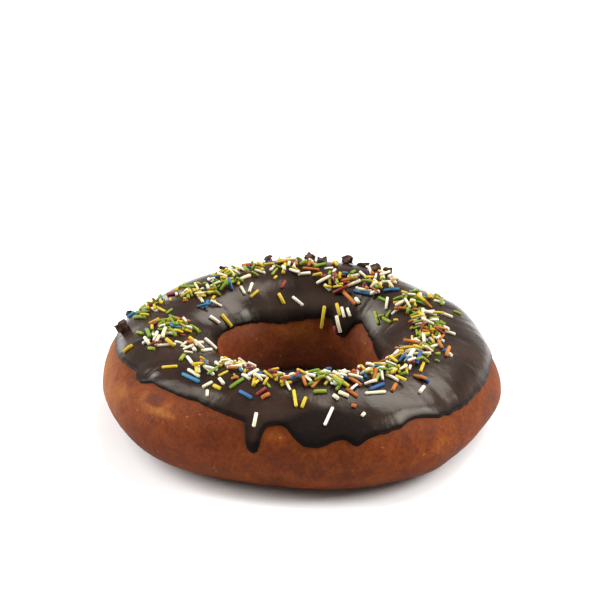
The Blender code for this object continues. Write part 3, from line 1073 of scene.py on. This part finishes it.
class Heap:
    """The strands that lie already, and the surfaces under them."""

    def __init__(self, surfaces):
        self.surfaces = surfaces
        self.starts = np.zeros((0, 3))
        self.ends = np.zeros((0, 3))
        self.radii = np.zeros(0)

    def surface_height(self, point, out):
        """Height of the uppermost surface under a point, measured along out."""
        start = point + out * RAY_START
        hits = [surface.ray_cast(start, -out, 2 * RAY_START)[0] for surface in self.surfaces]
        heights = [(hit - point).dot(out) for hit in hits if hit is not None]
        return max(heights, default=None)

    def supports(self, place, lie, out, half, radius):
        """Places along the rod, and how high it must be there."""
        found = []
        for share in SURFACE_CHECKS:
            height = self.surface_height(place + lie * half * share, out)
            if height is not None:
                found.append((half * share, height + radius - STRAND_SUNK))
        if len(self.radii):
            axes = np.array([lie, out.cross(lie), out])
            first = (self.starts - np.array(place)) @ axes.T
            last = (self.ends - np.array(place)) @ axes.T
            points = first[:, None] + (last - first)[:, None] * ROD_CHECKS[:, None]
            nearest = np.clip(points[..., 0], -half, half)
            aside = np.hypot(points[..., 0] - nearest, points[..., 1])
            clear = (radius + self.radii)[:, None]
            under = (aside < clear) & (np.abs(points[..., 2]) < RAY_START)
            rise = points[..., 2] + np.sqrt(np.clip(clear ** 2 - aside ** 2, 0, None))
            found += list(zip(nearest[under], rise[under]))
        return np.array(found)

    def rest(self, place, lie, out, half, radius):
        """Height of the rod's middle and its slope, or None where it would stand too high."""
        along, height = self.supports(place, lie, out, half, radius).T
        left, right = along < -NEAR_MIDDLE, along > NEAR_MIDDLE
        middle = max(height[~left & ~right], default=UNHELD)
        if left.any() and right.any():
            x0, z0 = along[left][:, None], height[left][:, None]
            x1, z1 = along[right], height[right]
            middle = max(middle, ((z0 * x1 - z1 * x0) / (x1 - x0)).max())
        lowest = max((height[right] - middle) / along[right], default=-STEEPEST_REST)
        highest = min((height[left] - middle) / along[left], default=STEEPEST_REST)
        slope = min(max(0.0, lowest), highest)
        if middle > HIGHEST_REST or abs(slope) > STEEPEST_REST:
            return None
        return middle, slope

    def lay(self, around, across, turn, length, radius):
        place, along, over, out = on_icing(around, across)
        lie = turned(along, over, turn)
        rest = self.rest(place, lie, out, length / 2, radius)
        if rest is None:
            return None
        middle = place + out * rest[0]
        lie = (lie + out * rest[1]).normalized()
        if middle.z + abs(lie.z) * length / 2 + radius > cad_box[1].z + TOP_MARGIN:
            return None
        self.starts = np.vstack([self.starts, middle - lie * length / 2])
        self.ends = np.vstack([self.ends, middle + lie * length / 2])
        self.radii = np.append(self.radii, radius)
        return middle, lie, out


def lay_strands():
    looks = random.Random(LOOKS_SEED)
    surfaces = [BVHTree.FromPolygons([vert.co for vert in piece.data.vertices],
                                     [face.vertices for face in piece.data.polygons])
                for piece in (icing, crust)]
    heap = Heap(surfaces)
    planned = [(around, across, turn, length * MM, {name: 1})
               for name, around, across, turn, length in LONE_STRANDS]
    planned += drifted(random.Random(STRAND_SEED), CARRIED, STRAND_LENGTHS, STRAND_SPACING)
    thick = len(planned)
    planned += drifted(random.Random(MORE_SEED), MORE, MORE_LENGTHS, MORE_SPACING)
    laid = {name: [] for name in MIXED}
    for number, (around, across, turn, length, shares) in enumerate(planned):
        name = looks.choices(list(shares), list(shares.values()))[0]
        radius = looks.uniform(*(STRAND_RADII if number < thick else MORE_RADII))
        tone, bend = looks.random(), looks.choice(BEND_CHOICES)
        found = heap.lay(around, across, turn, length, radius)
        if found:
            laid[name].append((*found, length, radius, tone, bend))
    return laid


laid = lay_strands()
counts = {name: len(rows) for name, rows in laid.items()}
print("strands:", counts, "in all", sum(counts.values()))

# %% [markdown]
# # One strand for every point
# Sugar strands are cut from long threads, so each is a thin rod with slightly rounded ends, and
# some are a little bent. The tree makes three unit rods of a few dozen faces, puts one on each
# point, and reads its turn, thickness and length from the point's attributes.

# %% A tree that turns points into strands
ROD_SIDES = 8
ROD_BENDS = (0.0, 0.15, 0.3)
ROD_END_SCALE = 0.72
ROD_SHOULDER = 0.465
ROD_SEGMENTS = 4
RING_AT = 0.25


def unit_rod(tree, bend):
    """A rod 1 long and 1 in radius, bowed to one side. Two of its rings move out to its shoulders."""
    values = {"Vertices": ROD_SIDES, "Side Segments": ROD_SEGMENTS, "Radius": 1.0, "Depth": 1.0}
    rod = tree.node("GeometryNodeMeshCylinder", {"fill_type": "NGON"}, values)
    x, y, z = tree.parts(tree.node("GeometryNodeInputPosition"))
    reach = z.maths("ABSOLUTE", z)
    end = z.maths("GREATER_THAN", reach, 0.4)
    shoulder = z.maths("COMPARE", reach, RING_AT, 0.05)
    width = 1 - end * (1 - ROD_END_SCALE)
    height = z * (1 + shoulder * (ROD_SHOULDER / RING_AT - 1))
    bow = bend * (1 - 4 * (height * height))
    moved = tree.node("ShaderNodeCombineXYZ", {}, {0: x * width + bow, 1: y * width, 2: height})
    shaped = tree.node("GeometryNodeSetPosition", {}, {"Geometry": rod, "Position": moved})
    return tree.node("GeometryNodeGeometryToInstance", {}, {"Geometry": shaped})


def strand_tree():
    group, tree, given = new_geometry_tree("strands on points", "Thickness")
    kinds = tree.nodes.new("GeometryNodeJoinGeometry")
    for bend in ROD_BENDS:
        tree.join(kinds.inputs[0], unit_rod(tree, bend))
    lie, up = [named(tree, name, "FLOAT_VECTOR") for name in ("lie", "up")]
    axes = {"primary_axis": "Z", "secondary_axis": "X"}
    values = {"Primary Axis": lie, "Secondary Axis": up}
    turn = tree.node("FunctionNodeAxesToRotation", axes, values)
    thick = named(tree, "radius") * given["Thickness"]
    scale = tree.node("ShaderNodeCombineXYZ", {}, {0: thick, 1: thick, 2: named(tree, "length")})
    rods = tree.node("GeometryNodeInstanceOnPoints", {}, {
        "Points": given["Mesh"], "Instance": Wire(tree, kinds.outputs[0]), "Pick Instance": True,
        "Instance Index": named(tree, "bend", "INT"), "Rotation": turn, "Scale": scale})
    smooth = tree.node("GeometryNodeSetShadeSmooth", {}, {"Geometry": rods})
    end_geometry_tree(tree, smooth, given["Finish"])
    return group


STRANDS = strand_tree()

# %% [markdown]
# # Finish of the strands
# The strands are dyed sugar, opaque and matte. No two are dyed quite alike, so every strand
# carries a tone from 0 to 1 that blends two colours. A faint grain keeps them from looking like
# plastic.

# %% Strand materials
STRAND_GRAIN = ((0.82, 0.82, 0.82, 1), (1.1, 1.1, 1.1, 1))
STRAND_COLOURS = {
    "white": (colour(216, 207, 192), colour(203, 197, 160)),
    "yellow": (colour(178, 148, 10), colour(192, 168, 36)),
    "green": (colour(92, 124, 16), colour(132, 138, 24)),
    "orange": (colour(150, 72, 13), colour(178, 106, 25)),
    "blue": (colour(28, 72, 124), colour(40, 108, 140)),
    "red": (colour(106, 24, 26), colour(130, 36, 24)),
}


def strand_material(name):
    made, tree, shader = new_material(f"{name} sugar strand")
    grain = noise(tree, own_place(tree), 0.35 * MM, 2, 7.0)
    tone, = attributes(tree, "tone")
    body = tree.blend(tone, *STRAND_COLOURS[name])
    tree.fill(shader, {
        "Base Color": tree.blend(1.0, body, tree.blend(grain, *STRAND_GRAIN), "MULTIPLY"),
        "Roughness": 0.42 + grain * 0.3,
        "Specular IOR Level": 0.35,
        "Normal": bump(tree, grain, 0.25, 0.08 * MM)})
    return made


def make_strands(name, rows):
    places, lies, ups, lengths, radii, tones, bends = zip(*rows)
    mesh = bpy.data.meshes.new(f"strands_{name}")
    mesh.from_pydata(places, [], [])
    for title, vectors in (("lie", lies), ("up", ups)):
        layer = mesh.attributes.new(title, "FLOAT_VECTOR", "POINT")
        layer.data.foreach_set("vector", np.array(vectors, dtype=np.float32).ravel())
    for title, values in (("length", lengths), ("radius", radii), ("tone", tones)):
        set_attribute(mesh, title, values)
    mesh.attributes.new("bend", "INT", "POINT").data.foreach_set("value", bends)
    piece = new_piece(f"strands_{name}", mesh)
    run_tree(piece, STRANDS, Thickness=1.0, Finish=strand_material(name))
    dress(piece, "icing")


for name, rows in laid.items():
    make_strands(name, rows)

# %% [markdown]
# # Flakes of chocolate
# A dozen shards of chocolate lie on the icing, most along the back, and a square one leans out
# at the left. Each starts as the slab that the solids carry, with four uneven corners. Broken
# chocolate is rough at every scale, so the slab is divided finely and noise pushes its points
# about, which frays its edges as well as its faces.

# %% Flakes
FLAKES = (
    (172, 43, 5, 82, 225, 5.0 * MM, 1.0 * MM),
    (157, 33, 40, 40, 0, 2.4 * MM, 0.5 * MM),
    (102, 64, 20, 40, 0, 3.2 * MM, 0.9 * MM),
    (87, 68, 95, 35, 20, 4.4 * MM, 0.8 * MM),
    (82, 72, 60, 20, 60, 3.4 * MM, 0.5 * MM),
    (72, 67, 75, 60, 0, 3.8 * MM, 1.1 * MM),
    (65, 68, 15, 20, 30, 3.6 * MM, 0.5 * MM),
    (59, 72, 85, 30, 10, 4.4 * MM, 0.7 * MM),
    (55, 66, 80, 50, 0, 3.8 * MM, 0.9 * MM),
    (95, 48, 45, 20, 40, 3.2 * MM, 0.5 * MM),
    (74, 46, 100, 20, 70, 3.6 * MM, 0.5 * MM),
    (118, 52, 160, 20, 20, 3.0 * MM, 0.5 * MM),
)
FLAKE_THICKNESS = 0.9 * MM
FLAKE_CORNERS = 4
CORNER_SHIFT = 0.2
CORNER_REACH = (0.75, 1.1)
CORNER_HEIGHT = (0.8, 1.2)
FLAKE_SEED = 5
FRAY_SEED = 5
FLAKE_CUTS = 6
FRAY_SIZE = 1.1 * MM
FRAY_REACH = 0.55 * MM
CRUMBLE_SIZE = 0.35 * MM
CRUMBLE_REACH = 0.16 * MM
SHARP_ANGLE = 50
CHOCOLATE_DARK = colour(42, 26, 19)
CHOCOLATE_LIGHT = colour(80, 55, 42)
CHOCOLATE_DUST = colour(108, 84, 66)


def flake_slab(shape, width, first_corner, placed, draw):
    """Add one slab with an uneven outline to the shape, placed by a matrix."""
    rings = []
    for level in (-0.5, 0.5):
        ring = []
        for corner in range(FLAKE_CORNERS):
            turn = math.tau * (corner + draw.uniform(-CORNER_SHIFT, CORNER_SHIFT)) / FLAKE_CORNERS
            turn += math.radians(first_corner)
            reach = width / 2 * draw.uniform(*CORNER_REACH)
            height = level * FLAKE_THICKNESS * draw.uniform(*CORNER_HEIGHT)
            place = placed @ Vector((reach * math.cos(turn), reach * math.sin(turn), height))
            ring.append(shape.verts.new(place))
        rings.append(ring)
    low, high = rings
    faces = [shape.faces.new(reversed(low)), shape.faces.new(high)]
    for corner in range(FLAKE_CORNERS):
        after = (corner + 1) % FLAKE_CORNERS
        faces.append(shape.faces.new((low[corner], low[after], high[after], high[corner])))
    bmesh.ops.triangulate(shape, faces=faces)


def chocolate_material():
    made, tree, shader = new_material("broken chocolate")
    place = own_place(tree)
    grain = noise(tree, place, 0.5 * MM, 4, 8.0)
    patch = noise(tree, place, 1.6 * MM, 3, 8.5)
    body = tree.blend(patch.eased(0.4, 0.65), CHOCOLATE_DARK, CHOCOLATE_LIGHT)
    tree.fill(shader, {
        "Base Color": tree.blend(grain.eased(0.55, 0.75) * 0.4, body, CHOCOLATE_DUST),
        "Roughness": 0.5 + grain * 0.3,
        "Specular IOR Level": 0.12,
        "Normal": bump(tree, grain, 0.5, 0.15 * MM)})
    return made


def make_flakes():
    draw = random.Random(FLAKE_SEED)
    vector_noise.seed_set(FRAY_SEED)
    shape = bmesh.new()
    for around, across, turn, tilt, first_corner, width, lift in FLAKES:
        point, along, over, out = on_icing(around, across)
        side = turned(along, over, turn)
        axis = turned(out, side, tilt)
        side = turned(side, out, -tilt)
        facing = Matrix((side, axis.cross(side), axis)).transposed().to_4x4()
        flake_slab(shape, width, first_corner, Matrix.Translation(point + out * lift) @ facing, draw)
    bmesh.ops.subdivide_edges(shape, edges=shape.edges[:], cuts=FLAKE_CUTS, use_grid_fill=True)
    for vert in shape.verts:
        push = vector_noise.noise_vector(vert.co / FRAY_SIZE) * FRAY_REACH
        vert.co += push + vector_noise.noise_vector(vert.co / CRUMBLE_SIZE) * CRUMBLE_REACH
    bmesh.ops.recalc_face_normals(shape, faces=shape.faces)
    mesh = bpy.data.meshes.new("chocolate_flakes")
    shape.to_mesh(mesh)
    shape.free()
    mesh.shade_smooth()
    mesh.set_sharp_from_angle(angle=math.radians(SHARP_ANGLE))
    mesh.materials.append(chocolate_material())
    dress(new_piece("chocolate_flakes", mesh), "icing")


make_flakes()
